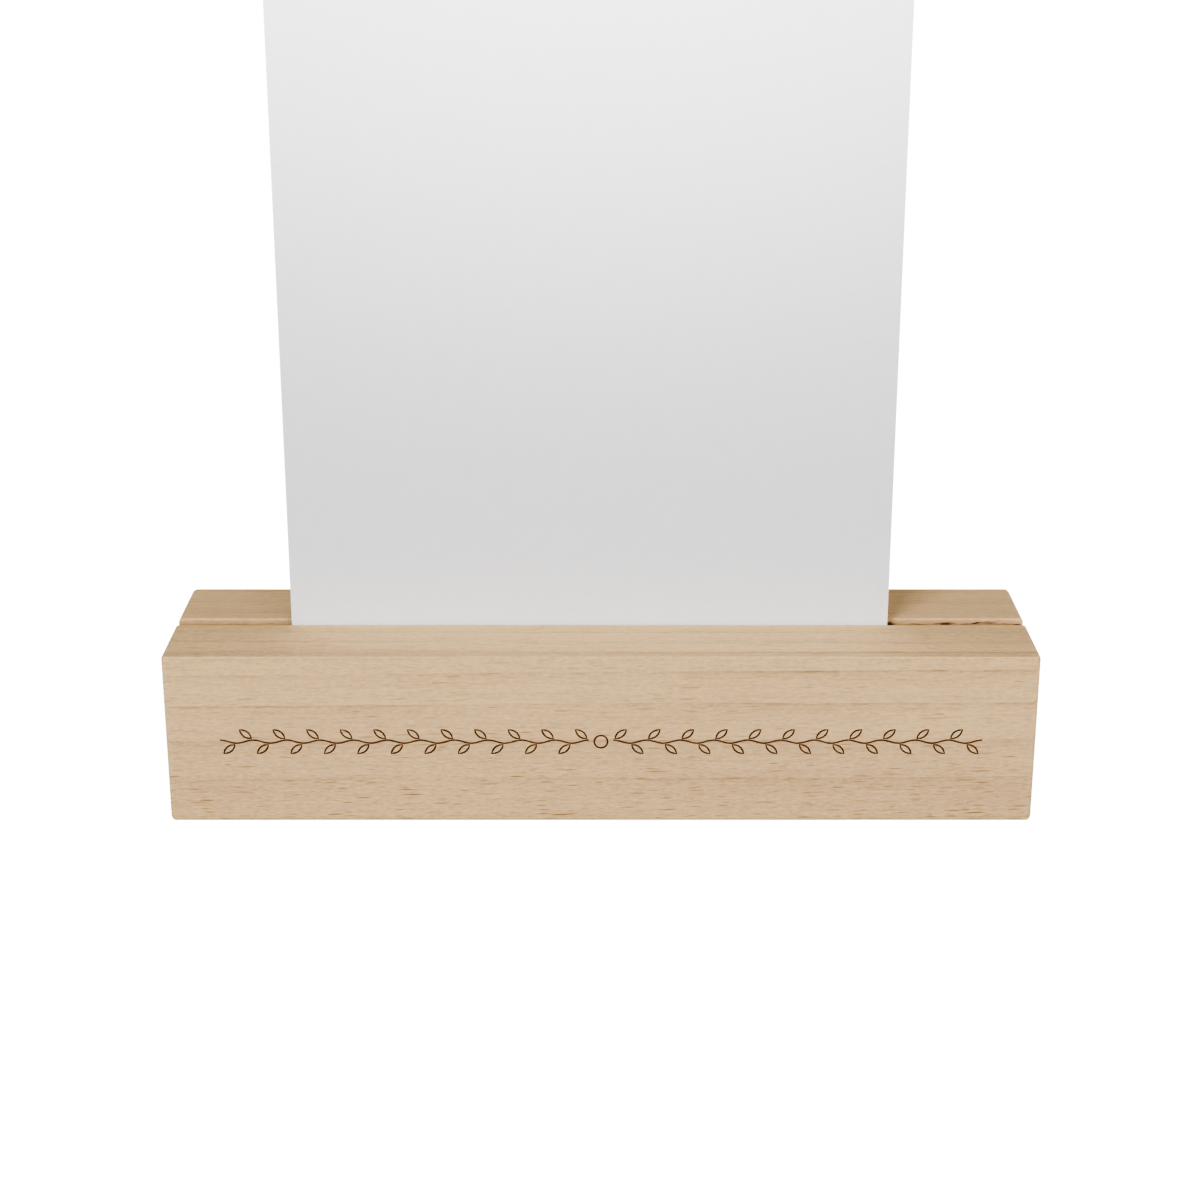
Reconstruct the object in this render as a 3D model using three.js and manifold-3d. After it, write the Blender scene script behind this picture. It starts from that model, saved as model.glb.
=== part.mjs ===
// Wooden card holder: a small beech block with one saw kerf along its top, and the card that
// stands upright in the kerf. Millimetres, +Z up, the front faces -Y, and the origin is at the
// middle of the block's underside.
import * as THREE from 'three';
import { mergeVertices } from 'three/addons/utils/BufferGeometryUtils.js';
import Module from 'manifold-3d';

// Block, planed square, with crisp long arrises. Sanding has rounded the edges of the ends, and
// most of all the four upright corners.
const BLOCK_LENGTH = 150;
const BLOCK_DEPTH = 35;
const BLOCK_HEIGHT = 30.5;
const LONG_ARRIS_RADIUS = 0.25;
const END_ARRIS_RADIUS = 0.8;
const CORNER_RADIUS = 1.3;

// Kerf, sawn from end to end along the middle of the top, then eased by hand
const KERF_WIDTH = 3.2;
const KERF_DEPTH = 12;
const LIP_RADIUS = 0.3;
const RUNOUT_RADIUS = 0.4;

// Card, post-card format, standing on its short side
const CARD_WIDTH = 105;
const CARD_HEIGHT = 148;
const CARD_THICKNESS = 0.45;
const CARD_OFF_MIDDLE = -2;

// Clearance of the standing card to the kerf's floor and to its front wall
const SEAT_GAP = 0.3;

// How far a cutting tool reaches past the face that it leaves
const LENGTH_OVERSHOOT = 0.02;
const TOP_OVERSHOOT = 2;

// Steps in each rounding, and the distance under which two vertices are one
const ROUND_STEPS = 4;
const WELD_DISTANCE = 1e-4;

const KERF_FLOOR = BLOCK_HEIGHT - KERF_DEPTH;
const KERF_FRONT_WALL = -KERF_WIDTH / 2;

const wasm = await Module();
wasm.setup();

// A solid that can be cut, from a closed geometry.
function toSolid(geometry) {
  const bare = geometry.clone();
  bare.deleteAttribute('normal');
  bare.deleteAttribute('uv');
  const welded = mergeVertices(bare, WELD_DISTANCE);
  const vertProperties = new Float32Array(welded.attributes.position.array);
  const triVerts = new Uint32Array(welded.index.array);
  return new wasm.Manifold(new wasm.Mesh({ numProp: 3, vertProperties, triVerts }));
}

// A geometry, from a solid that has been cut.
function toGeometry(solid) {
  const { vertProperties, triVerts } = solid.getMesh();
  const geometry = new THREE.BufferGeometry();
  geometry.setAttribute('position', new THREE.BufferAttribute(vertProperties, 3));
  geometry.setIndex(new THREE.BufferAttribute(triVerts, 1));
  geometry.computeVertexNormals();
  return geometry;
}

// The kerf seen from the block's end: straight walls, a flat floor and two quarter-round lips.
// The shape's origin is at the middle of the mouth, level with the block's top.
function kerfProfile() {
  const wall = KERF_WIDTH / 2;
  const mouth = wall + LIP_RADIUS;
  const profile = new THREE.Shape();
  profile.moveTo(-wall, -KERF_DEPTH);
  profile.lineTo(wall, -KERF_DEPTH);
  profile.lineTo(wall, -LIP_RADIUS);
  profile.absarc(mouth, -LIP_RADIUS, LIP_RADIUS, Math.PI, Math.PI / 2, true);
  profile.lineTo(mouth, TOP_OVERSHOOT);
  profile.lineTo(-mouth, TOP_OVERSHOOT);
  profile.lineTo(-mouth, 0);
  profile.absarc(-mouth, -LIP_RADIUS, LIP_RADIUS, Math.PI / 2, 0, true);
  return profile;
}

// The solid that the saw and the easing take away. It flares like a trumpet where it leaves the
// ends: the bevel starts wider than the profile and closes to it over the run-out radius.
function kerfCutter() {
  const reach = BLOCK_LENGTH + 2 * LENGTH_OVERSHOOT;
  const straight = reach - 2 * RUNOUT_RADIUS;
  const cutter = new THREE.ExtrudeGeometry(kerfProfile(), {
    depth: straight,
    curveSegments: ROUND_STEPS,
    bevelThickness: RUNOUT_RADIUS,
    bevelSize: -RUNOUT_RADIUS,
    bevelOffset: RUNOUT_RADIUS,
    bevelSegments: ROUND_STEPS,
  });
  cutter.translate(0, 0, -straight / 2);
  // Profile across is the block's depth, profile up is height, and the extrusion runs along it.
  const alongBlock = new THREE.Matrix4().makeBasis(
    new THREE.Vector3(0, 1, 0),
    new THREE.Vector3(0, 0, 1),
    new THREE.Vector3(1, 0, 0),
  );
  cutter.applyMatrix4(alongBlock);
  cutter.translate(0, 0, BLOCK_HEIGHT);
  return cutter;
}

// A rectangle with quarter-round corners, centred on its origin.
function roundedRectangle(width, height, radius) {
  const right = width / 2 - radius;
  const top = height / 2 - radius;
  const quarter = Math.PI / 2;
  const outline = new THREE.Shape();
  outline.absarc(right, top, radius, 0, quarter, false);
  outline.absarc(-right, top, radius, quarter, 2 * quarter, false);
  outline.absarc(-right, -top, radius, 2 * quarter, 3 * quarter, false);
  outline.absarc(right, -top, radius, 3 * quarter, 4 * quarter, false);
  return outline;
}

// A prism of that outline, drawn in the plane of two axes and run along the third through the
// block's middle. It reaches past the block at both ends.
function prism(outline, length, across, up, along) {
  const reach = length + 2 * TOP_OVERSHOOT;
  const geometry = new THREE.ExtrudeGeometry(outline, {
    depth: reach,
    curveSegments: ROUND_STEPS,
    bevelEnabled: false,
  });
  geometry.translate(0, 0, -reach / 2);
  geometry.applyMatrix4(new THREE.Matrix4().makeBasis(across, up, along));
  geometry.translate(0, 0, BLOCK_HEIGHT / 2);
  return toSolid(geometry);
}

// The blank: what the end view, the plan and the front view have in common. The end view rounds
// the long arrises, the plan rounds the upright corners, and the front view rounds the upper and
// lower edges of the ends.
function planedBlank() {
  const x = new THREE.Vector3(1, 0, 0);
  const y = new THREE.Vector3(0, 1, 0);
  const z = new THREE.Vector3(0, 0, 1);
  const end = roundedRectangle(BLOCK_DEPTH, BLOCK_HEIGHT, LONG_ARRIS_RADIUS);
  const plan = roundedRectangle(BLOCK_LENGTH, BLOCK_DEPTH, CORNER_RADIUS);
  const front = roundedRectangle(BLOCK_LENGTH, BLOCK_HEIGHT, END_ARRIS_RADIUS);
  const long = prism(end, BLOCK_LENGTH, y, z, x);
  const upright = prism(plan, BLOCK_HEIGHT, x, y, z);
  const level = prism(front, BLOCK_DEPTH, x, z, y.clone().negate());
  return long.intersect(upright).intersect(level);
}

// The block: a planed and eased blank with the kerf sawn through it.
function holderBlock() {
  const sawn = planedBlank().subtract(toSolid(kerfCutter()));
  const beech = new THREE.MeshStandardMaterial({ color: 0xd2b48c, roughness: 0.6, metalness: 0 });
  const block = new THREE.Mesh(toGeometry(sawn), beech);
  block.name = 'holder_block';
  return block;
}

// The card: square-cut stock that stands on the kerf's floor against its front wall.
function displayCard() {
  const sheet = new THREE.BoxGeometry(CARD_WIDTH, CARD_THICKNESS, CARD_HEIGHT);
  const paper = new THREE.MeshStandardMaterial({ color: 0xf2f2f0, roughness: 0.85, metalness: 0 });
  const card = new THREE.Mesh(sheet, paper);
  card.name = 'display_card';
  card.position.set(
    CARD_OFF_MIDDLE,
    KERF_FRONT_WALL + SEAT_GAP + CARD_THICKNESS / 2,
    KERF_FLOOR + SEAT_GAP + CARD_HEIGHT / 2,
  );
  return card;
}

const cardHolder = new THREE.Group();
cardHolder.name = 'card_holder';
cardHolder.add(holderBlock(), displayCard());

export default cardHolder;
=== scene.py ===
"""Looks of the wooden card holder: an engraved beech block and the white card in its kerf.

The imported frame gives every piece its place. Blender works in metres here, and MM turns a size
that a maker would give in millimetres into metres. Wood patterns are worked out in millimetres.
"""

import logging
import math
from dataclasses import dataclass, field
from enum import Enum
from typing import Any, Union

import bmesh
import bpy
from bmesh.types import BMEdge, BMesh, BMFace, BMVert
from bpy.types import ID, Curve, Light, Material, Mesh, Node, NodeSocket, Object
from mathutils import Matrix, Vector, noise


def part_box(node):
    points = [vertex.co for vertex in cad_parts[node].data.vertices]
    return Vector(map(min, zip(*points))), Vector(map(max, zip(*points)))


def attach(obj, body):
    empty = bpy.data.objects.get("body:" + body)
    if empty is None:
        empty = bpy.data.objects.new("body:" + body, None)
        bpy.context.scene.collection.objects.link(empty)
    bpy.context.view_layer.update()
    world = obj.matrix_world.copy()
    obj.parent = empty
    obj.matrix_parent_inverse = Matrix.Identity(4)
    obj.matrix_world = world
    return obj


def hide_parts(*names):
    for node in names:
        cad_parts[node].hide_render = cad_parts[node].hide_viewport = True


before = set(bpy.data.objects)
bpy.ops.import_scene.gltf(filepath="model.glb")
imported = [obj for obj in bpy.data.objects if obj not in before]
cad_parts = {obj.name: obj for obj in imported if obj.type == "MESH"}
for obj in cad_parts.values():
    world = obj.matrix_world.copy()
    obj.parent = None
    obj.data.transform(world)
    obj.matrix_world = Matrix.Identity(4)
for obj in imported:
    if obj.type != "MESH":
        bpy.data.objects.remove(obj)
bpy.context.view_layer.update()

MM = 0.001
LOG = logging.getLogger("card_holder")

# Metres under which two places are one, and under which a cut meets a point or lengths are alike
NEAR = 1e-6
SNAP = 1e-7

# The value that a noise swings about
MEAN = 0.5

# The setting of the Weighted Normal modifier that favours large faces most
LARGEST_FACE_LEADS = 100

Colour = tuple[float, float, float]
Point = tuple[float, float, float]
Knot = tuple[Vector, Vector, Vector]
Ramp = tuple[float, ...]
Spot = tuple["Field", "Field", "Field"]
Link = Union["Field", NodeSocket, float, tuple]


class Field:
    """One number that varies over a surface. Its operators add Math nodes to the graph."""

    def __init__(self, graph: "Graph", socket: NodeSocket) -> None:
        """Wraps an output socket of the graph."""
        self.graph = graph
        self.socket = socket

    def __add__(self, other: Link) -> "Field":
        """The sum of the two."""
        return self.graph.math("ADD", self, other)

    __radd__ = __add__

    def __sub__(self, other: Link) -> "Field":
        """The difference of the two."""
        return self.graph.math("SUBTRACT", self, other)

    def __rsub__(self, other: Link) -> "Field":
        """The difference, with a plain number first."""
        return self.graph.math("SUBTRACT", other, self)

    def __mul__(self, other: Link) -> "Field":
        """The product of the two."""
        return self.graph.math("MULTIPLY", self, other)

    __rmul__ = __mul__

    def __truediv__(self, other: Link) -> "Field":
        """The quotient of the two."""
        return self.graph.math("DIVIDE", self, other)

    def __pow__(self, other: Link) -> "Field":
        """This number raised to a power."""
        return self.graph.math("POWER", self, other)

    def __abs__(self) -> "Field":
        """This number without its sign."""
        return self.graph.math("ABSOLUTE", self)

    def apply(self, operation: str, *others: Link) -> "Field":
        """Any other Math operation on this number."""
        return self.graph.math(operation, self, *others)

    def ramp(self, low: float, high: float, start: float = 0.0, end: float = 1.0) -> "Field":
        """Goes smoothly from start to end while this number goes from low to high.

        Args:
            low: The value where the result is start.
            high: The value where the result is end.
            start: The result before low.
            end: The result past high.

        Returns:
            The eased number.
        """
        made = self.graph.node(
            "ShaderNodeMapRange",
            {"interpolation_type": "SMOOTHSTEP"},
            {"Value": self, "From Min": low, "From Max": high, "To Min": start, "To Max": end},
        )
        return Field(self.graph, made.outputs["Result"])


class Graph:
    """The node tree of one material or world, with a short way to add and link nodes."""

    def __init__(self, name: str, world: bool = False) -> None:
        """Makes an empty material or world.

        Args:
            name: The name that it gets.
            world: Whether it is a world.
        """
        self.owner = (bpy.data.worlds if world else bpy.data.materials).new(name)
        self.owner.use_nodes = True
        self.tree = self.owner.node_tree
        self.tree.nodes.clear()

    def node(
        self,
        kind: str,
        settings: dict[str, Any] | None = None,
        inputs: dict[Any, Link] | None = None,
    ) -> Node:
        """Adds a node.

        Args:
            kind: The node's Blender type.
            settings: Properties of the node, set before its sockets.
            inputs: Socket names or numbers with the value or link that each takes. A colour
                becomes opaque.

        Returns:
            The new node.
        """
        made = self.tree.nodes.new(kind)
        for key, value in (settings or {}).items():
            setattr(made, key, value)
        for key, value in (inputs or {}).items():
            source = value.socket if isinstance(value, Field) else value
            socket = made.inputs[key]
            if isinstance(source, NodeSocket):
                self.tree.links.new(source, socket)
            else:
                socket.default_value = (*source, 1.0) if socket.type == "RGBA" else source
        return made

    def math(self, operation: str, *values: Link) -> Field:
        """A Math node on one, two or three values."""
        made = self.node("ShaderNodeMath", {"operation": operation}, dict(enumerate(values)))
        return Field(self, made.outputs[0])

    def vector(self, operation: str, *values: Link) -> NodeSocket:
        """A Vector Math node on one or two vectors."""
        made = self.node("ShaderNodeVectorMath", {"operation": operation}, dict(enumerate(values)))
        return made.outputs["Vector"]

    def join(self, x: Link, y: Link, z: Link) -> NodeSocket:
        """A vector made of three numbers."""
        return self.node("ShaderNodeCombineXYZ", None, {0: x, 1: y, 2: z}).outputs[0]

    def shrink(self, spot: Spot, size: Point) -> NodeSocket:
        """A place counted in steps of a size along each axis."""
        return self.join(*(part / step for part, step in zip(spot, size)))

    def split(self, vector: NodeSocket) -> Spot:
        """The three numbers of a vector."""
        made = self.node("ShaderNodeSeparateXYZ", None, {0: vector})
        return tuple(Field(self, socket) for socket in made.outputs)

    def mix(self, share: Link, first: Link, second: Link, mode: str = "MIX") -> NodeSocket:
        """A mix of two colours.

        Args:
            share: How much of the second colour shows, from 0 to 1.
            first: The colour at 0.
            second: The colour at 1.
            mode: Blender's name for the way of mixing.

        Returns:
            The socket of the mixed colour.
        """
        made = self.node(
            "ShaderNodeMix",
            {"data_type": "RGBA", "blend_type": mode},
            {0: share, 6: first, 7: second},
        )
        return made.outputs[2]

    def tint(self, share: Link, colour: Link, tone: Colour) -> NodeSocket:
        """A colour that is multiplied by a tone as far as the share says."""
        return self.mix(share, colour, self.mix(1.0, colour, tone, "MULTIPLY"))

    def cloud(self, vector: Link, detail: float = 2.0, roughness: float = 0.5) -> Node:
        """A noise texture with features about one unit across."""
        return self.node(
            "ShaderNodeTexNoise",
            {"noise_dimensions": "3D"},
            {"Vector": vector, "Scale": 1.0, "Detail": detail, "Roughness": roughness},
        )

    def haze(self, vector: Link, detail: float = 2.0, roughness: float = 0.5) -> Field:
        """One number of such a noise, from 0 to 1."""
        return Field(self, self.cloud(vector, detail, roughness).outputs[0])

    def object_mm(self) -> NodeSocket:
        """The place on the piece in millimetres."""
        place = self.node("ShaderNodeTexCoord").outputs["Object"]
        return self.vector("MULTIPLY", place, (1 / MM, 1 / MM, 1 / MM))

    def bump(self, height: Field, strength: float, depth: float) -> NodeSocket:
        """The normal of a surface with a height map of that depth."""
        inputs = {"Strength": strength, "Distance": depth, "Height": height}
        return self.node("ShaderNodeBump", None, inputs).outputs[0]

    def surface(self, inputs: dict[str, Link]) -> Material:
        """Closes the graph with a Principled shader.

        Args:
            inputs: The shader's socket names with their values or links.

        Returns:
            The finished material.
        """
        shader = self.node("ShaderNodeBsdfPrincipled", None, inputs)
        self.node("ShaderNodeOutputMaterial", None, {"Surface": shader.outputs[0]})
        return self.owner


@dataclass(frozen=True)
class StreakLayer:
    """Fibre streaks of one length, in millimetres along the grain, across it and into the tree."""

    size: Point
    share: float

    def pattern(self, graph: Graph, spot: Spot) -> Field:
        """This layer's part of the streaks."""
        return self.share * graph.haze(graph.shrink(spot, self.size), detail=1.0)


@dataclass(frozen=True)
class FleckLayer:
    """One family of ray flecks: thin ribbons that show as short dashes along the grain.

    Sizes are in millimetres along the grain, across it and into the tree. The share says how many
    of the places have a fleck. A fleck's length, thickness and weight vary from its least by up to
    its range, and the shift keeps one family from falling in with the next.
    """

    spacing: Point
    half_size: Point
    slope: float
    share: float
    strength: float
    shift: Point
    share_edge: float = 0.05
    randomness: float = 0.85
    core: float = 0.15
    least_length: float = 0.45
    length_range: float = 0.85
    least_thickness: float = 0.7
    thickness_range: float = 0.45
    least_weight: float = 0.3
    weight_range: float = 0.7

    def pattern(self, graph: Graph, spot: Spot) -> Field:
        """Adds the flecks to a graph.

        Args:
            graph: Takes the nodes.
            spot: Place along the grain, across the rays and along them.

        Returns:
            How much of the ray's colour shows, from 0 to 1.
        """
        x, around, radius = spot
        skewed = (x, around - self.slope * x, radius)
        cells = graph.join(*(p / gap + by for p, gap, by in zip(skewed, self.spacing, self.shift)))
        found = graph.node(
            "ShaderNodeTexVoronoi",
            {"voronoi_dimensions": "3D", "feature": "F1"},
            {"Vector": cells, "Scale": 1.0, "Randomness": self.randomness},
        )
        reach = tuple(gap / half for gap, half in zip(self.spacing, self.half_size))
        apart = graph.vector("SUBTRACT", cells, found.outputs["Position"])
        lengthwise, thick, deep = graph.split(graph.vector("MULTIPLY", apart, reach))
        chance, size, weight = graph.split(found.outputs["Color"])
        lengthwise = lengthwise / (self.least_length + self.length_range * size)
        thick = abs(thick) / (self.least_thickness + self.thickness_range * size)
        body = (lengthwise * lengthwise + thick + deep * deep).ramp(1.0, self.core)
        there = chance.ramp(self.share, self.share - self.share_edge)
        force = self.strength * (self.least_weight + self.weight_range * weight)
        return (body * there * force).apply("MINIMUM", 1.0)


@dataclass(frozen=True)
class GrowthRings:
    """Late wood: a slow darkening through each year that ends in a thin broken line.

    Lengths are in millimetres. Years differ in width by their unevenness, and in vigour by a swing
    from year to year. The fade and break steps make each year fade and break on its own.
    """

    width: float = 3.6
    outer: float = 111.0
    uneven_width: float = 5.5
    uneven_length: float = 400.0
    unevenness: float = 0.3
    raggedness: float = 0.06
    fade_length: float = 50.0
    fade_step: float = 7.3
    fade: Ramp = (0.3, 0.65, 0.55, 1.15)
    break_length: float = 4.0
    break_step: float = 3.7
    breaks: Ramp = (0.4, 0.62, 0.15, 1.0)
    vigour: float = 0.85
    swing: float = 0.2
    swing_step: float = 0.9
    swing_start: float = 2.92
    slow_power: float = 3.0
    slow_share: float = 0.4
    line: Ramp = (0.90, 0.96)
    line_share: float = 0.5

    def pattern(self, graph: Graph, x: Field, radius: Field, streaks: Field) -> Field:
        """Adds the rings to a graph.

        Args:
            graph: Takes the nodes.
            x: Place along the grain.
            radius: Distance from the pith.
            streaks: The fibre streaks, which fray the rings.

        Returns:
            How much late wood there is.
        """
        uneven = graph.haze(
            graph.join(radius / self.uneven_width, x / self.uneven_length, 0.0), detail=1.0
        )
        shift = self.unevenness * (uneven - MEAN) + self.raggedness * (streaks - MEAN)
        phase = (radius - self.outer) / self.width + shift
        year = phase.apply("FRACT")
        number = phase.apply("FLOOR")
        fading = graph.haze(
            graph.join(x / self.fade_length, number * self.fade_step, 0.0), detail=1.0
        )
        broken = graph.haze(
            graph.join(x / self.break_length, number * self.break_step, 0.0), detail=2.0
        )
        swing = (self.swing_step * number + self.swing_start).apply("SINE")
        vigour = (self.vigour + self.swing * swing) * fading.ramp(*self.fade)
        slow = year ** self.slow_power
        line = year.ramp(*self.line) * broken.ramp(*self.breaks)
        return (self.slow_share * slow + self.line_share * line) * vigour


@dataclass(frozen=True)
class PaintedKerfShade:
    """Painted shade down the kerf's walls and on its floor, where the front lip and the narrow gap
    keep light out: faint at the lips, strong below.

    Lengths are in millimetres from the block's middle plane and from its underside.
    """

    # The colour that the painted shade multiplies in
    tone: Colour = (0.64, 0.55, 0.44)
    sides: Ramp = (1.95, 1.85)
    floor: Ramp = (18.35, 18.45)
    lips: Ramp = (30.5, 29.6)
    walls: Ramp = (29.6, 29.25)
    lip_share: float = 0.35
    wall_share: float = 0.45
    ragged_scale: Point = (0.45, 0.2, 0.2)
    raggedness: float = 0.5

    def pattern(self, graph: Graph, place: NodeSocket) -> Field:
        """Adds the painted shade to a graph.

        Args:
            graph: Takes the nodes.
            place: The place on the block in millimetres.

        Returns:
            How much of the painted shade's tone shows, from 0 to 1.
        """
        _, across, height = graph.split(place)
        in_kerf = abs(across).ramp(*self.sides) * height.ramp(*self.floor)
        scaled = graph.vector("MULTIPLY", place, self.ragged_scale)
        ragged = graph.haze(scaled, detail=3.0, roughness=0.6)
        height = height + self.raggedness * (ragged - MEAN)
        faint = self.lip_share * height.ramp(*self.lips)
        return in_kerf * (faint + self.wall_share * height.ramp(*self.walls))


@dataclass(frozen=True)
class GrainMaps:
    """What the beech pattern gives to a finish: a colour, a height and the ray flecks."""

    colour: NodeSocket
    height: Field
    fleck: Field


@dataclass(frozen=True)
class BeechFinish:
    """Sanded beech, worked out as solid wood so that every face shows the right cut of it.

    The pattern's lengths are in millimetres. The pith lies outside the block, behind and below it,
    so the rings cross the end from the front's foot to the top's back. The grain wanders a little
    about its course, the front gets darker towards its foot, and the fibre is strongest in the
    front half. A band of late wood runs along the top, close to the front.
    """

    name: str = "sanded_beech"
    pith_y: float = 70.0
    pith_z: float = -40.5
    arc_radius: float = 100.0
    rise: float = 0.005
    wander_size: Point = (110.0, 30.0, 30.0)
    wander: Point = (0.0, 0.9, 0.9)
    pale: Colour = (0.862, 0.635, 0.376)
    late: Colour = (0.604, 0.414, 0.246)
    ray: Colour = (0.398, 0.245, 0.130)
    end_tone: Colour = (0.80, 0.74, 0.66)
    end_turn: Ramp = (0.8, 1.0)
    foot: Ramp = (24.0, 4.0)
    fibre: Ramp = (-2.0, 6.0, 2.05, 1.4)
    band_front: Ramp = (-17.5, -16.8)
    band_back: Ramp = (-14.4, -15.4)
    band_height: Ramp = (29.7, 30.2)
    zone_size: Point = (45.0, 9.0, 9.0)
    least_late: float = 0.17
    ring_share: float = 0.7
    zone_share: float = 0.3
    foot_share: float = 0.18
    band_share: float = 0.4
    fleck_gain: float = 0.55
    foot_fleck_gain: float = 0.92
    fibre_relief: float = 0.5
    fleck_relief: float = 0.6
    ring_relief: float = 0.2
    bump: float = 0.35
    bump_depth: float = 0.04 * MM
    roughness: float = 0.68
    fleck_gloss: float = 0.1
    specular: float = 0.08
    rings: GrowthRings = field(default_factory=GrowthRings)
    # Painted shade in the kerf
    kerf_shade: PaintedKerfShade = field(default_factory=PaintedKerfShade)
    streaks: tuple[StreakLayer, ...] = (
        StreakLayer((1.1, 0.34, 0.5), 0.48),
        StreakLayer((5.0, 0.30, 0.42), 0.30),
        StreakLayer((40.0, 0.5, 0.7), 0.22),
    )
    flecks: tuple[FleckLayer, ...] = (
        FleckLayer((7.0, 1.4, 14.0), (2.2, 0.15, 8.0), 0.02, 0.52, 1.15, (0.0, 0.0, 0.0)),
        FleckLayer((5.0, 0.8, 10.0), (1.6, 0.12, 6.0), 0.025, 0.7, 0.76, (3.1, 7.7, 1.9)),
        FleckLayer((3.6, 0.5, 8.0), (1.1, 0.10, 5.0), 0.03, 0.95, 0.48, (11.3, 2.9, 6.1)),
        FleckLayer((1.6, 0.36, 3.0), (0.5, 0.07, 2.0), 0.02, 0.95, 0.34, (5.7, 13.1, 3.3)),
    )

    def material(self) -> Material:
        """Makes the finish.

        Returns:
            The material.
        """
        graph = Graph(self.name)
        maps = self.grain(graph)
        return graph.surface({
            "Base Color": maps.colour,
            "Roughness": self.roughness - self.fleck_gloss * maps.fleck,
            "Specular IOR Level": self.specular,
            "Normal": graph.bump(maps.height, self.bump, self.bump_depth),
        })

    def grain(self, graph: Graph) -> GrainMaps:
        """Adds the solid wood to a graph.

        Args:
            graph: Takes the nodes.

        Returns:
            The colour, height and fleck maps.
        """
        place = graph.object_mm()
        x, y, z = graph.split(graph.vector("ADD", place, self._drift(graph, place)))
        out = y - self.pith_y
        up = z - self.pith_z - self.rise * x
        radius = (out * out + up * up) ** 0.5
        around = graph.math("ARCTAN2", up, out * -1.0) * self.arc_radius
        spot = (x, around, radius)
        streaks = sum(layer.pattern(graph, spot) for layer in self.streaks)
        rings = self.rings.pattern(graph, x, radius, streaks)
        foot = z.ramp(*self.foot)
        fleck, *others = [layer.pattern(graph, spot) for layer in self.flecks]
        for other in others:
            fleck = fleck.apply("MAXIMUM", other)
        fleck = fleck * (self.fleck_gain + self.foot_fleck_gain * foot)
        zone = graph.haze(graph.shrink(spot, self.zone_size), detail=1.0)
        band = y.ramp(*self.band_front) * y.ramp(*self.band_back) * z.ramp(*self.band_height)
        late = (
            rings * self.ring_share
            + (streaks - MEAN) * y.ramp(*self.fibre)
            + (zone - MEAN) * self.zone_share
            + self.foot_share * foot
            + self.band_share * band
            + self.least_late
        )
        late = late.apply("MAXIMUM", 0.0).apply("MINIMUM", 1.0)
        wood = graph.mix(fleck, graph.mix(late, self.pale, self.late), self.ray)
        along, _, _ = graph.split(graph.node("ShaderNodeTexCoord").outputs["Normal"])
        wood = graph.tint(abs(along).ramp(*self.end_turn), wood, self.end_tone)
        # Painted shade in the kerf: darker down its walls and on its floor
        wood = graph.tint(self.kerf_shade.pattern(graph, place), wood, self.kerf_shade.tone)
        height = streaks * self.fibre_relief - fleck * self.fleck_relief - rings * self.ring_relief
        return GrainMaps(wood, height, fleck)

    def _drift(self, graph: Graph, place: NodeSocket) -> NodeSocket:
        """How far the grain has wandered from its course, in millimetres."""
        cloud = graph.cloud(graph.vector("DIVIDE", place, self.wander_size)).outputs["Color"]
        return graph.vector("MULTIPLY", graph.vector("SUBTRACT", cloud, (MEAN,) * 3), self.wander)


@dataclass(frozen=True)
class CharredFinish:
    """The brown floor of an engraved line. Its patches are scaled per millimetre."""

    name: str = "charred_line"
    deep: Colour = (0.135, 0.064, 0.036)
    worn: Colour = (0.20, 0.105, 0.060)
    patch_scale: Point = (1.4, 1.4, 1.4)
    wear: Ramp = (0.35, 0.7)
    roughness: float = 0.8
    specular: float = 0.2

    def material(self) -> Material:
        """Makes the finish.

        Returns:
            The material.
        """
        graph = Graph(self.name)
        patches = graph.haze(
            graph.vector("MULTIPLY", graph.object_mm(), self.patch_scale), detail=3.0
        )
        return graph.surface({
            "Base Color": graph.mix(patches.ramp(*self.wear), self.deep, self.worn),
            "Roughness": self.roughness,
            "Specular IOR Level": self.specular,
        })


@dataclass(frozen=True)
class TornFinish:
    """Raw fibres where the saw has torn a chip out of the kerf's back wall.

    The wood is painted darker from the wall's place to the bottom's, in millimetres behind the
    block's
    middle plane: painted shade in the chip's hollow. The fibres are scaled per millimetre.
    """

    name: str = "torn_fibre_and_shade"
    pale: Colour = (0.56, 0.38, 0.22)
    hollow_shade: Colour = (0.22, 0.145, 0.085)
    wall: float = 1.60
    bottom: float = 2.0
    fibre_scale: Point = (1.1, 5.0, 5.0)
    fray: float = 0.3
    bump: float = 0.8
    bump_depth: float = 0.1 * MM
    roughness: float = 0.9
    specular: float = 0.1

    def material(self) -> Material:
        """Makes the finish.

        Returns:
            The material.
        """
        graph = Graph(self.name)
        place = graph.object_mm()
        fibres = graph.haze(graph.vector("MULTIPLY", place, self.fibre_scale), detail=3.0)
        _, depth, _ = graph.split(place)
        # Painted shade: the deeper into the chip, the darker
        shade = (depth + self.fray * (fibres - MEAN)).ramp(self.wall, self.bottom)
        return graph.surface({
            "Base Color": graph.mix(shade, self.pale, self.hollow_shade),
            "Roughness": self.roughness,
            "Specular IOR Level": self.specular,
            "Normal": graph.bump(fibres, self.bump, self.bump_depth),
        })


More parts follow.
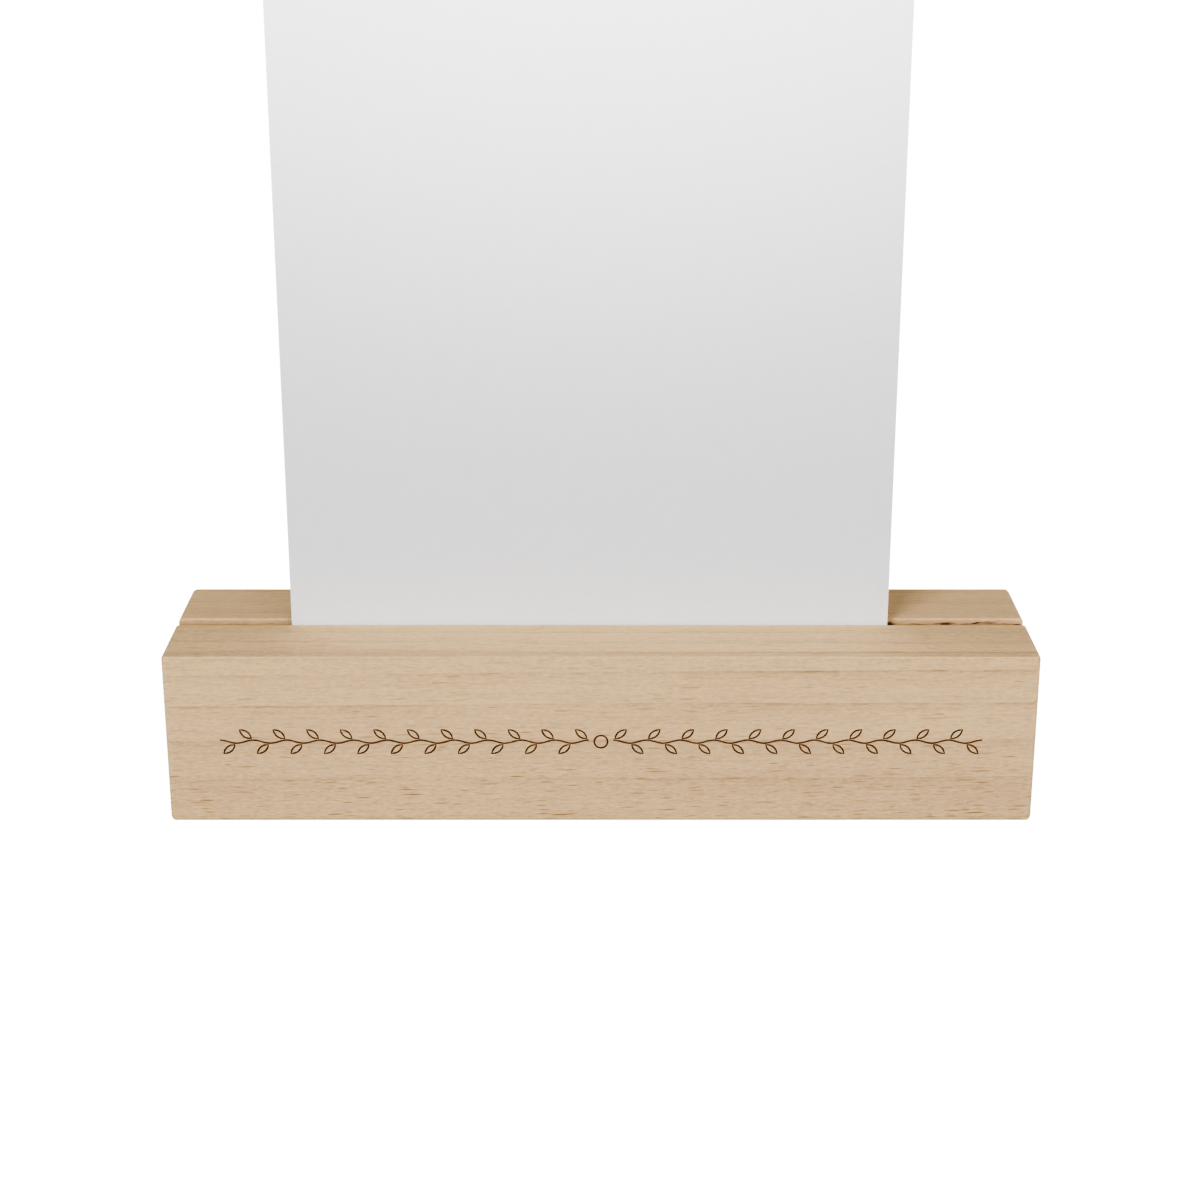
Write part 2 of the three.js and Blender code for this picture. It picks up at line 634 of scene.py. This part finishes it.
@dataclass(frozen=True)
class CardFinish:
    """Uncoated white card with a faint cloudy formation and a fine tooth.

    Its foot is painted a little cooler, against the warm light that the wood bounces onto it.
    Heights are in millimetres above the block's underside, and the textures are scaled per
    millimetre.
    """

    name: str = "white_card_stock"
    bright: Colour = (0.890, 0.906, 0.930)
    dull: Colour = (0.874, 0.891, 0.916)
    cooling_against_bounce: Colour = (0.985, 1.018, 1.075)
    foot: Ramp = (65.0, 20.0)
    formation_scale: Point = (0.35, 0.35, 0.35)
    formation: Ramp = (0.3, 0.7)
    tooth_scale: Point = (6.0, 6.0, 6.0)
    tooth_roughness: float = 0.06
    bump: float = 0.25
    bump_depth: float = 0.03 * MM
    roughness: float = 0.82
    specular: float = 0.3

    def material(self) -> Material:
        """Makes the finish.

        Returns:
            The material.
        """
        graph = Graph(self.name)
        place = graph.object_mm()
        spread = graph.vector("MULTIPLY", place, self.formation_scale)
        cloudy = graph.haze(spread, detail=4.0, roughness=0.6).ramp(*self.formation)
        fine = graph.vector("MULTIPLY", place, self.tooth_scale)
        tooth = graph.haze(fine, detail=3.0, roughness=0.6)
        _, _, height = graph.split(place)
        stock = graph.mix(cloudy, self.bright, self.dull)
        return graph.surface({
            # Painted light: a cool tint at the foot that cancels the wood's warm bounce
            "Base Color": graph.tint(height.ramp(*self.foot), stock, self.cooling_against_bounce),
            "Roughness": self.roughness + self.tooth_roughness * (tooth - MEAN),
            "Specular IOR Level": self.specular,
            "Normal": graph.bump(tooth, self.bump, self.bump_depth),
        })


class LeafSide(Enum):
    """Which side of the engraved stem a leaf grows on."""

    ABOVE = 1.0
    BELOW = -1.0


def link_object(name: str, data: ID) -> Object:
    """Puts new data into the scene as an object at the origin.

    Args:
        name: The object's name.
        data: The mesh, curve, lamp or camera.

    Returns:
        The object.
    """
    made = bpy.data.objects.new(name, data)
    bpy.context.scene.collection.objects.link(made)
    return made


def mesh_object(name: str, shape: BMesh) -> Object:
    """Turns a bmesh into an object at the origin and frees it.

    Args:
        name: The name of the object and its mesh.
        shape: The finished bmesh.

    Returns:
        The object.
    """
    mesh = bpy.data.meshes.new(name)
    shape.to_mesh(mesh)
    shape.free()
    return link_object(name, mesh)


def worked_mesh(source: Object) -> Mesh:
    """Makes a mesh of an object as its modifiers or its bevel leave it.

    Args:
        source: A mesh or curve object.

    Returns:
        The new mesh.
    """
    bpy.context.view_layer.update()
    graph = bpy.context.evaluated_depsgraph_get()
    return bpy.data.meshes.new_from_object(source.evaluated_get(graph))


def settle(piece: Object) -> None:
    """Applies every modifier of a mesh object.

    Args:
        piece: The object, which gets a new mesh.
    """
    worked = worked_mesh(piece)
    worked.name = piece.name
    piece.modifiers.clear()
    old = piece.data
    piece.data = worked
    bpy.data.meshes.remove(old)


def carve(piece: Object, cutter: Object, crossing: bool = False) -> None:
    """Cuts a closed cutter out of a piece, and keeps the cutter's material on the cut faces.

    Args:
        piece: The object that is cut.
        cutter: The tool, which is used up.
        crossing: Whether parts of the cutter run through each other.
    """
    cut = piece.modifiers.new("cut", "BOOLEAN")
    cut.operation = "DIFFERENCE"
    cut.solver = "EXACT"
    cut.use_self = crossing
    cut.object = cutter
    cut.material_mode = "TRANSFER"
    settle(piece)
    data = cutter.data
    bpy.data.objects.remove(cutter)
    bpy.data.meshes.remove(data)


def smooth(piece: Object) -> None:
    """Shades all faces of a mesh object smooth."""
    piece.data.polygons.foreach_set("use_smooth", [True] * len(piece.data.polygons))


def even_shading(piece: Object, keep_sharp: bool) -> None:
    """Turns the normals so that the flats look flat beside their rounded edges.

    Args:
        piece: The mesh object, shaded smooth.
        keep_sharp: Whether edges marked sharp stay so.
    """
    even = piece.modifiers.new("even_shading", "WEIGHTED_NORMAL")
    even.keep_sharp = keep_sharp
    even.weight = LARGEST_FACE_LEADS
    settle(piece)


@dataclass(frozen=True)
class Garland:
    """The engraved ornament: a waving stem with leaves by turns above and below it.

    The handles are shares of a radius and of a pitch, and they make a Bezier curve follow a circle
    and a cosine wave. The leaf's shares say where along it, and how strongly, its sides swell.
    """

    half_length: float = 65.6 * MM
    centre_height: float = 14.9 * MM
    stroke: float = 0.34 * MM
    stroke_steps: int = 2
    curve_steps: int = 5
    sink: float = 0.06 * MM
    leaves: int = 22
    leaf_length: float = 2.55 * MM
    leaf_belly: float = 0.78 * MM
    leaf_angle: float = math.radians(40.0)
    leaf_gap: float = 0.42 * MM
    leaf_base_share: float = 0.33
    leaf_tip_share: float = 0.72
    leaf_tip_belly: float = 0.8
    wave: float = 0.30 * MM
    wave_handle: float = 0.3642
    ring_radius: float = 1.15 * MM
    ring_handle: float = 0.5523
    stem_start: float = 2.1 * MM

    def cutter(self, front: float, material: Material) -> Object:
        """Builds the tool that engraves the ornament.

        Args:
            front: Where the block's front face lies along Y.
            material: The finish that the engraved lines get.

        Returns:
            A closed mesh object, sunk into the front by about two thirds of its stroke.
        """
        curve = bpy.data.curves.new("garland_line", "CURVE")
        curve.dimensions = "3D"
        curve.bevel_depth = self.stroke / 2
        curve.bevel_resolution = self.stroke_steps
        curve.resolution_u = self.curve_steps
        curve.use_fill_caps = True
        self._ring(curve)
        for way in (-1.0, 1.0):
            self._stem(curve, way)
            for index in range(self.leaves):
                self._leaf(curve, way, index)
        drawn = link_object("garland_line", curve)
        mesh = worked_mesh(drawn)
        bpy.data.objects.remove(drawn)
        bpy.data.curves.remove(curve)
        shape = bmesh.new()
        shape.from_mesh(mesh)
        bpy.data.meshes.remove(mesh)
        bmesh.ops.remove_doubles(shape, verts=shape.verts, dist=NEAR)
        upright = Matrix.Rotation(math.pi / 2, 4, "X")
        place = Matrix.Translation((0.0, front + self.sink, self.centre_height)) @ upright
        bmesh.ops.transform(shape, matrix=place, verts=shape.verts)
        bmesh.ops.recalc_face_normals(shape, faces=shape.faces)
        tool = mesh_object("garland_cutter", shape)
        tool.data.materials.append(material)
        return tool

    @property
    def leaf_pitch(self) -> float:
        """Distance from one leaf to the next along the stem."""
        return (self.half_length - self.stem_start) / self.leaves

    def _stem_point(self, way: float, index: int) -> Vector:
        """The place on the waving stem where a leaf grows.

        Args:
            way: -1 to the left or 1 to the right.
            index: The leaf's number from the middle.

        Returns:
            The place in the plane of the ornament.
        """
        along = self.stem_start + index * self.leaf_pitch
        height = self.wave * math.cos(math.pi * (along - self.stem_start) / self.leaf_pitch)
        return Vector((way * along, height, 0.0))

    def _spline(self, curve: Curve, knots: list[Knot], closed: bool) -> None:
        """Adds one Bezier stroke.

        Args:
            curve: The curve that takes it.
            knots: Left handle, point and right handle of each knot.
            closed: Whether the stroke returns to its start.
        """
        spline = curve.splines.new("BEZIER")
        spline.bezier_points.add(len(knots) - 1)
        spline.use_cyclic_u = closed
        for knot, (left, middle, right) in zip(spline.bezier_points, knots):
            knot.handle_left_type = knot.handle_right_type = "FREE"
            knot.handle_left, knot.co, knot.handle_right = left, middle, right

    def _ring(self, curve: Curve) -> None:
        """Adds the open ring in the middle of the ornament.

        Args:
            curve: The curve that takes it.
        """
        knots = []
        for quarter in range(4):
            angle = quarter * math.pi / 2
            spot = Vector((math.cos(angle), math.sin(angle), 0.0)) * self.ring_radius
            tangent = Vector((-math.sin(angle), math.cos(angle), 0.0))
            handle = tangent * (self.ring_handle * self.ring_radius)
            knots.append((spot - handle, spot, spot + handle))
        self._spline(curve, knots, True)

    def _stem(self, curve: Curve, way: float) -> None:
        """Adds one half of the stem, from beside the ring to the tip.

        Args:
            curve: The curve that takes it.
            way: -1 to the left or 1 to the right.
        """
        handle = Vector((way * (self.leaf_pitch * self.wave_handle), 0.0, 0.0))
        spots = [self._stem_point(way, index) for index in range(self.leaves + 1)]
        self._spline(curve, [(spot - handle, spot, spot + handle) for spot in spots], False)

    def _leaf(self, curve: Curve, way: float, index: int) -> None:
        """Adds one leaf outline, pointed at both ends.

        Args:
            curve: The curve that takes it.
            way: -1 to the left or 1 to the right.
            index: The leaf's number from the middle.
        """
        side = LeafSide.ABOVE if index % 2 == 0 else LeafSide.BELOW
        rise = side.value * math.sin(self.leaf_angle)
        outward = Vector((way * math.cos(self.leaf_angle), rise, 0.0))
        belly = Vector((-outward.y, outward.x, 0.0)) * self.leaf_belly
        base = self._stem_point(way, index) + outward * self.leaf_gap
        tip = base + outward * self.leaf_length
        near = base + outward * self.leaf_length * self.leaf_base_share
        far = base + outward * self.leaf_length * self.leaf_tip_share
        slim = belly * self.leaf_tip_belly
        knots = [(near - belly, base, near + belly), (far + slim, tip, far - slim)]
        self._spline(curve, knots, True)


@dataclass(frozen=True)
class Tear:
    """A chip torn out of the kerf's back wall. Lengths are in millimetres, its slant in radians."""

    along: float
    length: float
    height: float
    depth: float
    below_top: float
    slant: float


@dataclass
class BeechBlock:
    """The block: planed, eased, sawn, sanded by hand and engraved.

    The hand's scale is per metre, and its shift keeps the unevenness of the height apart from that
    of the depth. A chip is a ball, and its lumps are a share of its radius.
    """

    name: str = "beech_block"
    node: str = "holder_block"
    body: str = "block"
    slot: str = "beech"
    corner_radius: float = 1.3 * MM
    end_radius: float = 0.8 * MM
    long_radius: float = 0.25 * MM
    lip_radius: float = 0.3 * MM
    round_steps: int = 5
    kerf_width: float = 3.2 * MM
    kerf_depth: float = 12.0 * MM
    slices: int = 50
    hand_error: float = 0.04 * MM
    hand_scale: Point = (95.0, 60.0, 60.0)
    hand_shift: Point = (7.3, 1.9, 4.1)
    chip_steps: int = 3
    chip_lumps: float = 0.45
    chip_lump_scale: float = 4.2
    sharp_angle: float = math.radians(35.0)
    garland: Garland = field(default_factory=Garland)
    tears: tuple[Tear, ...] = (
        Tear(56.2, 4.2, 0.46, 0.12, 1.24, 0.03),
        Tear(72.2, 3.4, 0.50, 0.12, 1.18, 0.05),
        Tear(61.0, 4.6, 0.75, 0.13, 1.10, 0.00),
        Tear(67.6, 5.2, 0.70, 0.12, 1.00, -0.08),
        # This chip beside the card's right edge is there for its dark painted hollow, which stands
        # in for the card's shadow on the kerf wall
        Tear(50.9, 3.0, 1.10, 0.34, 1.25, 0.00),
        Tear(61.2, 2.1, 0.70, 0.42, 1.20, 0.06),
        Tear(66.6, 2.0, 0.42, 0.40, 0.92, -0.26),
        Tear(64.8, 2.6, 0.30, 0.16, 1.14, -0.10),
        Tear(69.4, 3.4, 0.34, 0.16, 1.06, 0.08),
        Tear(73.9, 1.6, 0.40, 0.30, 1.25, 0.00),
    )
    finish: BeechFinish = field(default_factory=BeechFinish)
    charred: CharredFinish = field(default_factory=CharredFinish)
    torn: TornFinish = field(default_factory=TornFinish)

    def build(self) -> Object:
        """Models the block.

        Returns:
            The finished piece, riding on its body.
        """
        shape = bmesh.new()
        self._saw_blank(shape)
        self._mark_easings(shape)
        piece = mesh_object(self.name, shape)
        self._ease(piece)
        self._sand_by_hand(piece)
        piece.data.materials.append(self.finish.material())
        raw = self.torn.material()
        for tear in self.tears:
            carve(piece, self._chip(tear, raw))
        front = self.corners[0].y
        carve(piece, self.garland.cutter(front, self.charred.material()), True)
        self._straighten(piece)
        smooth(piece)
        piece.data.set_sharp_from_angle(angle=self.sharp_angle)
        even_shading(piece, True)
        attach(piece, self.body)
        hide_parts(self.node)
        return piece

    @property
    def corners(self) -> tuple[Vector, Vector]:
        """The block's lowest corner and its highest one."""
        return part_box(self.node)

    def _saw_blank(self, shape: BMesh) -> None:
        """Draws the block's end with its kerf and pulls it to the block's length.

        Args:
            shape: The empty bmesh that takes the block.
        """
        low, high = self.corners
        wall = self.kerf_width / 2
        floor = high.z - self.kerf_depth
        outline = (
            (low.y, low.z), (high.y, low.z), (high.y, high.z), (wall, high.z),
            (wall, floor), (-wall, floor), (-wall, high.z), (low.y, high.z),
        )
        end = shape.faces.new([shape.verts.new((low.x, y, z)) for y, z in outline])
        pulled = bmesh.ops.extrude_face_region(shape, geom=[end])["geom"]
        moved = [item for item in pulled if isinstance(item, BMVert)]
        bmesh.ops.translate(shape, verts=moved, vec=(high.x - low.x, 0.0, 0.0))
        bmesh.ops.recalc_face_normals(shape, faces=shape.faces)

    def _mark_easings(self, shape: BMesh) -> None:
        """Gives each outer edge and each edge of the kerf's mouth the share of rounding it gets.

        Args:
            shape: The sawn block with sharp edges.
        """
        corners = self.corners
        share = shape.edges.layers.float.new("bevel_weight_edge")
        for edge in shape.edges:
            held = [
                axis
                for axis in range(3)
                for corner in corners
                if all(abs(vert.co[axis] - corner[axis]) < NEAR for vert in edge.verts)
            ]
            kerf_faces = sum(self._in_kerf(face) for face in edge.link_faces)
            if len(held) >= 2:
                level = self.end_radius if 0 in held else self.long_radius
                edge[share] = level / self.corner_radius if 2 in held else 1.0
            elif kerf_faces == 1:
                edge[share] = self.lip_radius / self.corner_radius

    def _in_kerf(self, face: BMFace) -> bool:
        """Whether a face is a wall of the kerf or its floor, whose corners all lie on the walls."""
        return all(abs(abs(vert.co.y) - self.kerf_width / 2) < NEAR for vert in face.verts)

    def _ease(self, piece: Object) -> None:
        """Rounds the marked edges, all in one go so that they meet in clean corners.

        Args:
            piece: The sawn block.
        """
        ease = piece.modifiers.new("ease", "BEVEL")
        ease.limit_method = "WEIGHT"
        ease.width = self.corner_radius
        ease.segments = self.round_steps
        ease.profile = 0.5
        settle(piece)

    def _sand_by_hand(self, piece: Object) -> None:
        """Slices the block and moves its skin a little, unevenly, to the middle plane and down.

        Args:
            piece: The eased block.
        """
        low, high = self.corners
        shape = bmesh.new()
        shape.from_mesh(piece.data)
        for index in range(1, self.slices):
            bmesh.ops.bisect_plane(
                shape,
                geom=[*shape.verts, *shape.edges, *shape.faces],
                dist=SNAP,
                plane_co=(low.lerp(high, index / self.slices).x, 0.0, 0.0),
                plane_no=(1.0, 0.0, 0.0),
            )
        middle = (low + high) / 2
        for vert in shape.verts:
            spot = Vector([place * scale for place, scale in zip(vert.co, self.hand_scale)])
            inward = self.hand_error * abs(noise.noise(spot))
            downward = self.hand_error * abs(noise.noise(spot + Vector(self.hand_shift)))
            vert.co.y -= math.copysign(inward, vert.co.y)
            if vert.co.z > middle.z:
                vert.co.z -= downward
        shape.to_mesh(piece.data)
        shape.free()

    def _chip(self, tear: Tear, raw: Material) -> Object:
        """Builds the tool that takes one torn chip out of the kerf's back wall.

        Args:
            tear: The chip's size and place.
            raw: The finish that the torn wood gets.

        Returns:
            A closed, uneven lump.
        """
        shape = bmesh.new()
        bmesh.ops.create_icosphere(shape, subdivisions=self.chip_steps, radius=0.5)
        own = Vector((tear.along, 0.0, 0.0))
        for vert in shape.verts:
            lump = noise.noise(vert.co * self.chip_lump_scale + own)
            vert.co *= 1.0 + self.chip_lumps * lump
        size = Vector((tear.length, tear.depth * 2.0, tear.height))
        bmesh.ops.scale(shape, verts=shape.verts, vec=size * MM)
        turn = Matrix.Rotation(tear.slant, 3, "Y")
        bmesh.ops.rotate(shape, verts=shape.verts, cent=(0.0, 0.0, 0.0), matrix=turn)
        top = self.corners[1].z
        spot = (tear.along * MM, self.kerf_width / 2, top - tear.below_top * MM)
        bmesh.ops.translate(shape, verts=shape.verts, vec=spot)
        chip = mesh_object("chip", shape)
        chip.data.materials.append(raw)
        return chip

    def _straighten(self, piece: Object) -> None:
        """Takes out the corners that lie along one edge only, which would fold into slivers.

        Args:
            piece: The engraved block.
        """
        shape = bmesh.new()
        shape.from_mesh(piece.data)
        loose = [vert for vert in shape.verts if len(vert.link_edges) == 2]
        bmesh.ops.dissolve_verts(shape, verts=loose)
        shape.to_mesh(piece.data)
        shape.free()


@dataclass
class StandingCard:
    """The white card: square cut, with barely eased edges and corners."""

    name: str = "white_card"
    node: str = "display_card"
    body: str = "card"
    slot: str = "card_stock"
    corner_radius: float = 0.3 * MM
    corner_steps: int = 3
    edge_radius: float = 0.05 * MM
    edge_steps: int = 2
    edge_angle: float = math.radians(60.0)
    finish: CardFinish = field(default_factory=CardFinish)

    def build(self) -> Object:
        """Models the card.

        Returns:
            The finished piece, riding on its body.
        """
        low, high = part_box(self.node)
        shape = bmesh.new()
        made = bmesh.ops.create_cube(shape, size=1.0)["verts"]
        bmesh.ops.scale(shape, verts=made, vec=high - low)
        bmesh.ops.translate(shape, verts=made, vec=(low + high) / 2)
        thickness = high.y - low.y
        corners = [edge for edge in shape.edges if abs(edge.calc_length() - thickness) < SNAP]
        self._round(shape, corners, self.corner_radius, self.corner_steps)
        rims = [edge for edge in shape.edges if edge.calc_face_angle() > self.edge_angle]
        self._round(shape, rims, self.edge_radius, self.edge_steps)
        piece = mesh_object(self.name, shape)
        piece.data.materials.append(self.finish.material())
        smooth(piece)
        even_shading(piece, False)
        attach(piece, self.body)
        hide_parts(self.node)
        return piece

    def _round(self, shape: BMesh, edges: list[BMEdge], radius: float, steps: int) -> None:
        """Rounds edges.

        Args:
            shape: The bmesh that they belong to.
            edges: The edges.
            radius: The radius that they get.
            steps: The number of flats in each rounding.
        """
        bmesh.ops.bevel(
            shape, geom=edges, offset=radius, offset_type="OFFSET", affect="EDGES",
            segments=steps, profile=0.5, material=-1,
        )


@dataclass(frozen=True)
class Lamp:
    """A studio light out of the camera's sight, aimed at a point."""

    name: str
    place: Point
    aim: Point
    power: float

    def hang(self, light: Light) -> None:
        """Hangs the light.

        Args:
            light: The light's own data, without its power.
        """
        light.energy = self.power
        made = link_object(self.name, light)
        made.location = self.place
        way = Vector(self.aim) - Vector(self.place)
        made.rotation_euler = way.to_track_quat("-Z", "Y").to_euler()
        made.visible_camera = False


@dataclass(frozen=True)
class Softbox(Lamp):
    """A rectangular light.

    The spread is the angle of its beam. A narrow one lights only what lies straight before it.
    """

    width: float
    height: float
    spread: float = math.pi

    def build(self) -> None:
        """Makes and hangs the light."""
        light = bpy.data.lights.new(self.name, "AREA")
        light.shape = "RECTANGLE"
        light.spread = self.spread
        light.size, light.size_y = self.width, self.height
        self.hang(light)


@dataclass(frozen=True)
class SoftSpot(Lamp):
    """A spot light whose beam fades out evenly from its axis."""

    half_angle: float
    radius: float = 0.03

    def build(self) -> None:
        """Makes and hangs the light."""
        light = bpy.data.lights.new(self.name, "SPOT")
        light.spot_size, light.spot_blend = 2.0 * self.half_angle, 1.0
        light.shadow_soft_size = self.radius
        self.hang(light)


@dataclass(frozen=True)
class Studio:
    """A pale seamless sweep, a soft sky and the lamps.

    The panel and the two strips have narrow beams. They light the object's back and its left end
    and leave its front as it is. Lengths are in metres.
    """

    floor_radius: float = 2.4
    bend_radius: float = 0.8
    bend_steps: int = 8
    turn_steps: int = 96
    wall_height: float = 2.6
    floor_tone: Colour = (0.9, 0.9, 0.9)
    floor_roughness: float = 0.9
    floor_glow: float = 2.9
    sky_tone: Colour = (1.0, 0.94, 0.86)
    sky_behind: float = 0.12
    sky_left: float = 0.22
    sky_right: float = 0.71
    sky_dark: float = -0.1
    sky_bright: float = 0.9
    lights: tuple[Softbox | SoftSpot, ...] = (
        Softbox("key_softbox", (-0.48, -0.98, 0.76), (0.0, 0.0, 0.03), 7.9, 0.45, 0.55),
        Softbox("front_softbox", (0.55, -1.13, 0.43), (0.0, 0.0, 0.03), 4.92, 0.8, 0.45),
        SoftSpot("card_spot", (0.0, -1.0, 0.45), (0.0, 0.0, 0.28), 54.5, math.radians(12.2)),
        Softbox(
            "back_panel", (0.0, 0.3, 0.13), (0.0, 0.0, 0.13),
            0.027, 0.3, 0.12, math.radians(16.0),
        ),
        Softbox(
            "back_strip", (0.0, 0.3, 0.0145), (0.0, 0.0, 0.0145),
            0.012, 0.3, 0.029, math.radians(1.0),
        ),
        Softbox(
            "left_strip", (-0.375, 0.0, 0.0155), (0.0, 0.0, 0.0155),
            0.0015, 0.05, 0.031, math.radians(1.0),
        ),
    )

    def build(self) -> None:
        """Sets up the sweep, the sky and the lights."""
        self._sweep()
        self._sky()
        for light in self.lights:
            light.build()
        view = bpy.context.scene.view_settings
        view.view_transform = "AgX"
        view.look = "AgX - Very High Contrast"

    def _sweep(self) -> None:
        """Spins the sweep's profile round the object: floor, bend and wall."""
        shape = bmesh.new()
        profile = [Vector((0.0, 0.0, 0.0)), Vector((self.floor_radius, 0.0, 0.0))]
        for step in range(1, self.bend_steps + 1):
            angle = step * math.pi / 2 / self.bend_steps
            out = self.floor_radius + self.bend_radius * math.sin(angle)
            profile.append(Vector((out, 0.0, self.bend_radius * (1 - math.cos(angle)))))
        profile.append(Vector((self.floor_radius + self.bend_radius, 0.0, self.wall_height)))
        verts = [shape.verts.new(spot) for spot in profile]
        edges = [shape.edges.new(pair) for pair in zip(verts, verts[1:])]
        bmesh.ops.spin(
            shape, geom=[*verts, *edges], cent=(0.0, 0.0, 0.0), axis=(0.0, 0.0, 1.0),
            angle=math.tau, steps=self.turn_steps, use_merge=True,
        )
        bmesh.ops.remove_doubles(shape, verts=shape.verts, dist=NEAR)
        bmesh.ops.recalc_face_normals(shape, faces=shape.faces)
        sweep = mesh_object("studio_sweep", shape)
        smooth(sweep)
        sweep.data.materials.append(Graph("pale_sweep").surface({
            "Base Color": self.floor_tone,
            "Roughness": self.floor_roughness,
            "Specular IOR Level": 0.0,
            "Emission Color": (1.0, 1.0, 1.0),
            "Emission Strength": self.floor_glow,
        }))
        sweep.visible_diffuse = False
        sweep.visible_glossy = False
        sweep.visible_shadow = False

    def _sky(self) -> None:
        """Lights the room softly from both sides and a little from behind."""
        graph = Graph("soft_sky", world=True)
        bpy.context.scene.world = graph.owner
        x, y, _ = graph.split(graph.node("ShaderNodeTexCoord").outputs["Generated"])
        left = self.sky_left * x.ramp(-self.sky_dark, -self.sky_bright)
        right = self.sky_right * x.ramp(self.sky_dark, self.sky_bright)
        glow = self.sky_behind * y.ramp(self.sky_dark, self.sky_bright) + (left + right)
        inputs = {"Color": self.sky_tone, "Strength": glow}
        back = graph.node("ShaderNodeBackground", None, inputs)
        graph.node("ShaderNodeOutputWorld", None, {"Surface": back.outputs[0]})


@dataclass(frozen=True)
class PhotoCamera:
    """The camera of the photograph, found from the corners of the block and the card."""

    lens: float = 71.15
    sensor: float = 36.0
    clip_start: float = 0.02
    clip_end: float = 50.0
    elevation: float = math.radians(19.636)
    place: Point = (-0.16 * MM, -393.77 * MM, 175.04 * MM)

    def build(self) -> Object:
        """Sets up the camera and makes it the scene's own.

        Returns:
            The camera.
        """
        data = bpy.data.cameras.new("photo_camera")
        data.lens, data.sensor_width = self.lens, self.sensor
        data.clip_start, data.clip_end = self.clip_start, self.clip_end
        made = link_object("photo_camera", data)
        made.location = self.place
        made.rotation_euler = (math.pi / 2 - self.elevation, 0.0, 0.0)
        bpy.context.scene.camera = made
        return made


def main() -> None:
    """Builds the object, piece by piece, in its studio."""
    logging.basicConfig(level=logging.INFO, format="%(name)s: %(message)s")
    PhotoCamera().build()
    Studio().build()
    for part in (BeechBlock(), StandingCard()):
        piece = part.build()
        LOG.info("%s: %d faces on body %s", piece.name, len(piece.data.polygons), part.body)


if __name__ == "__main__":
    main()
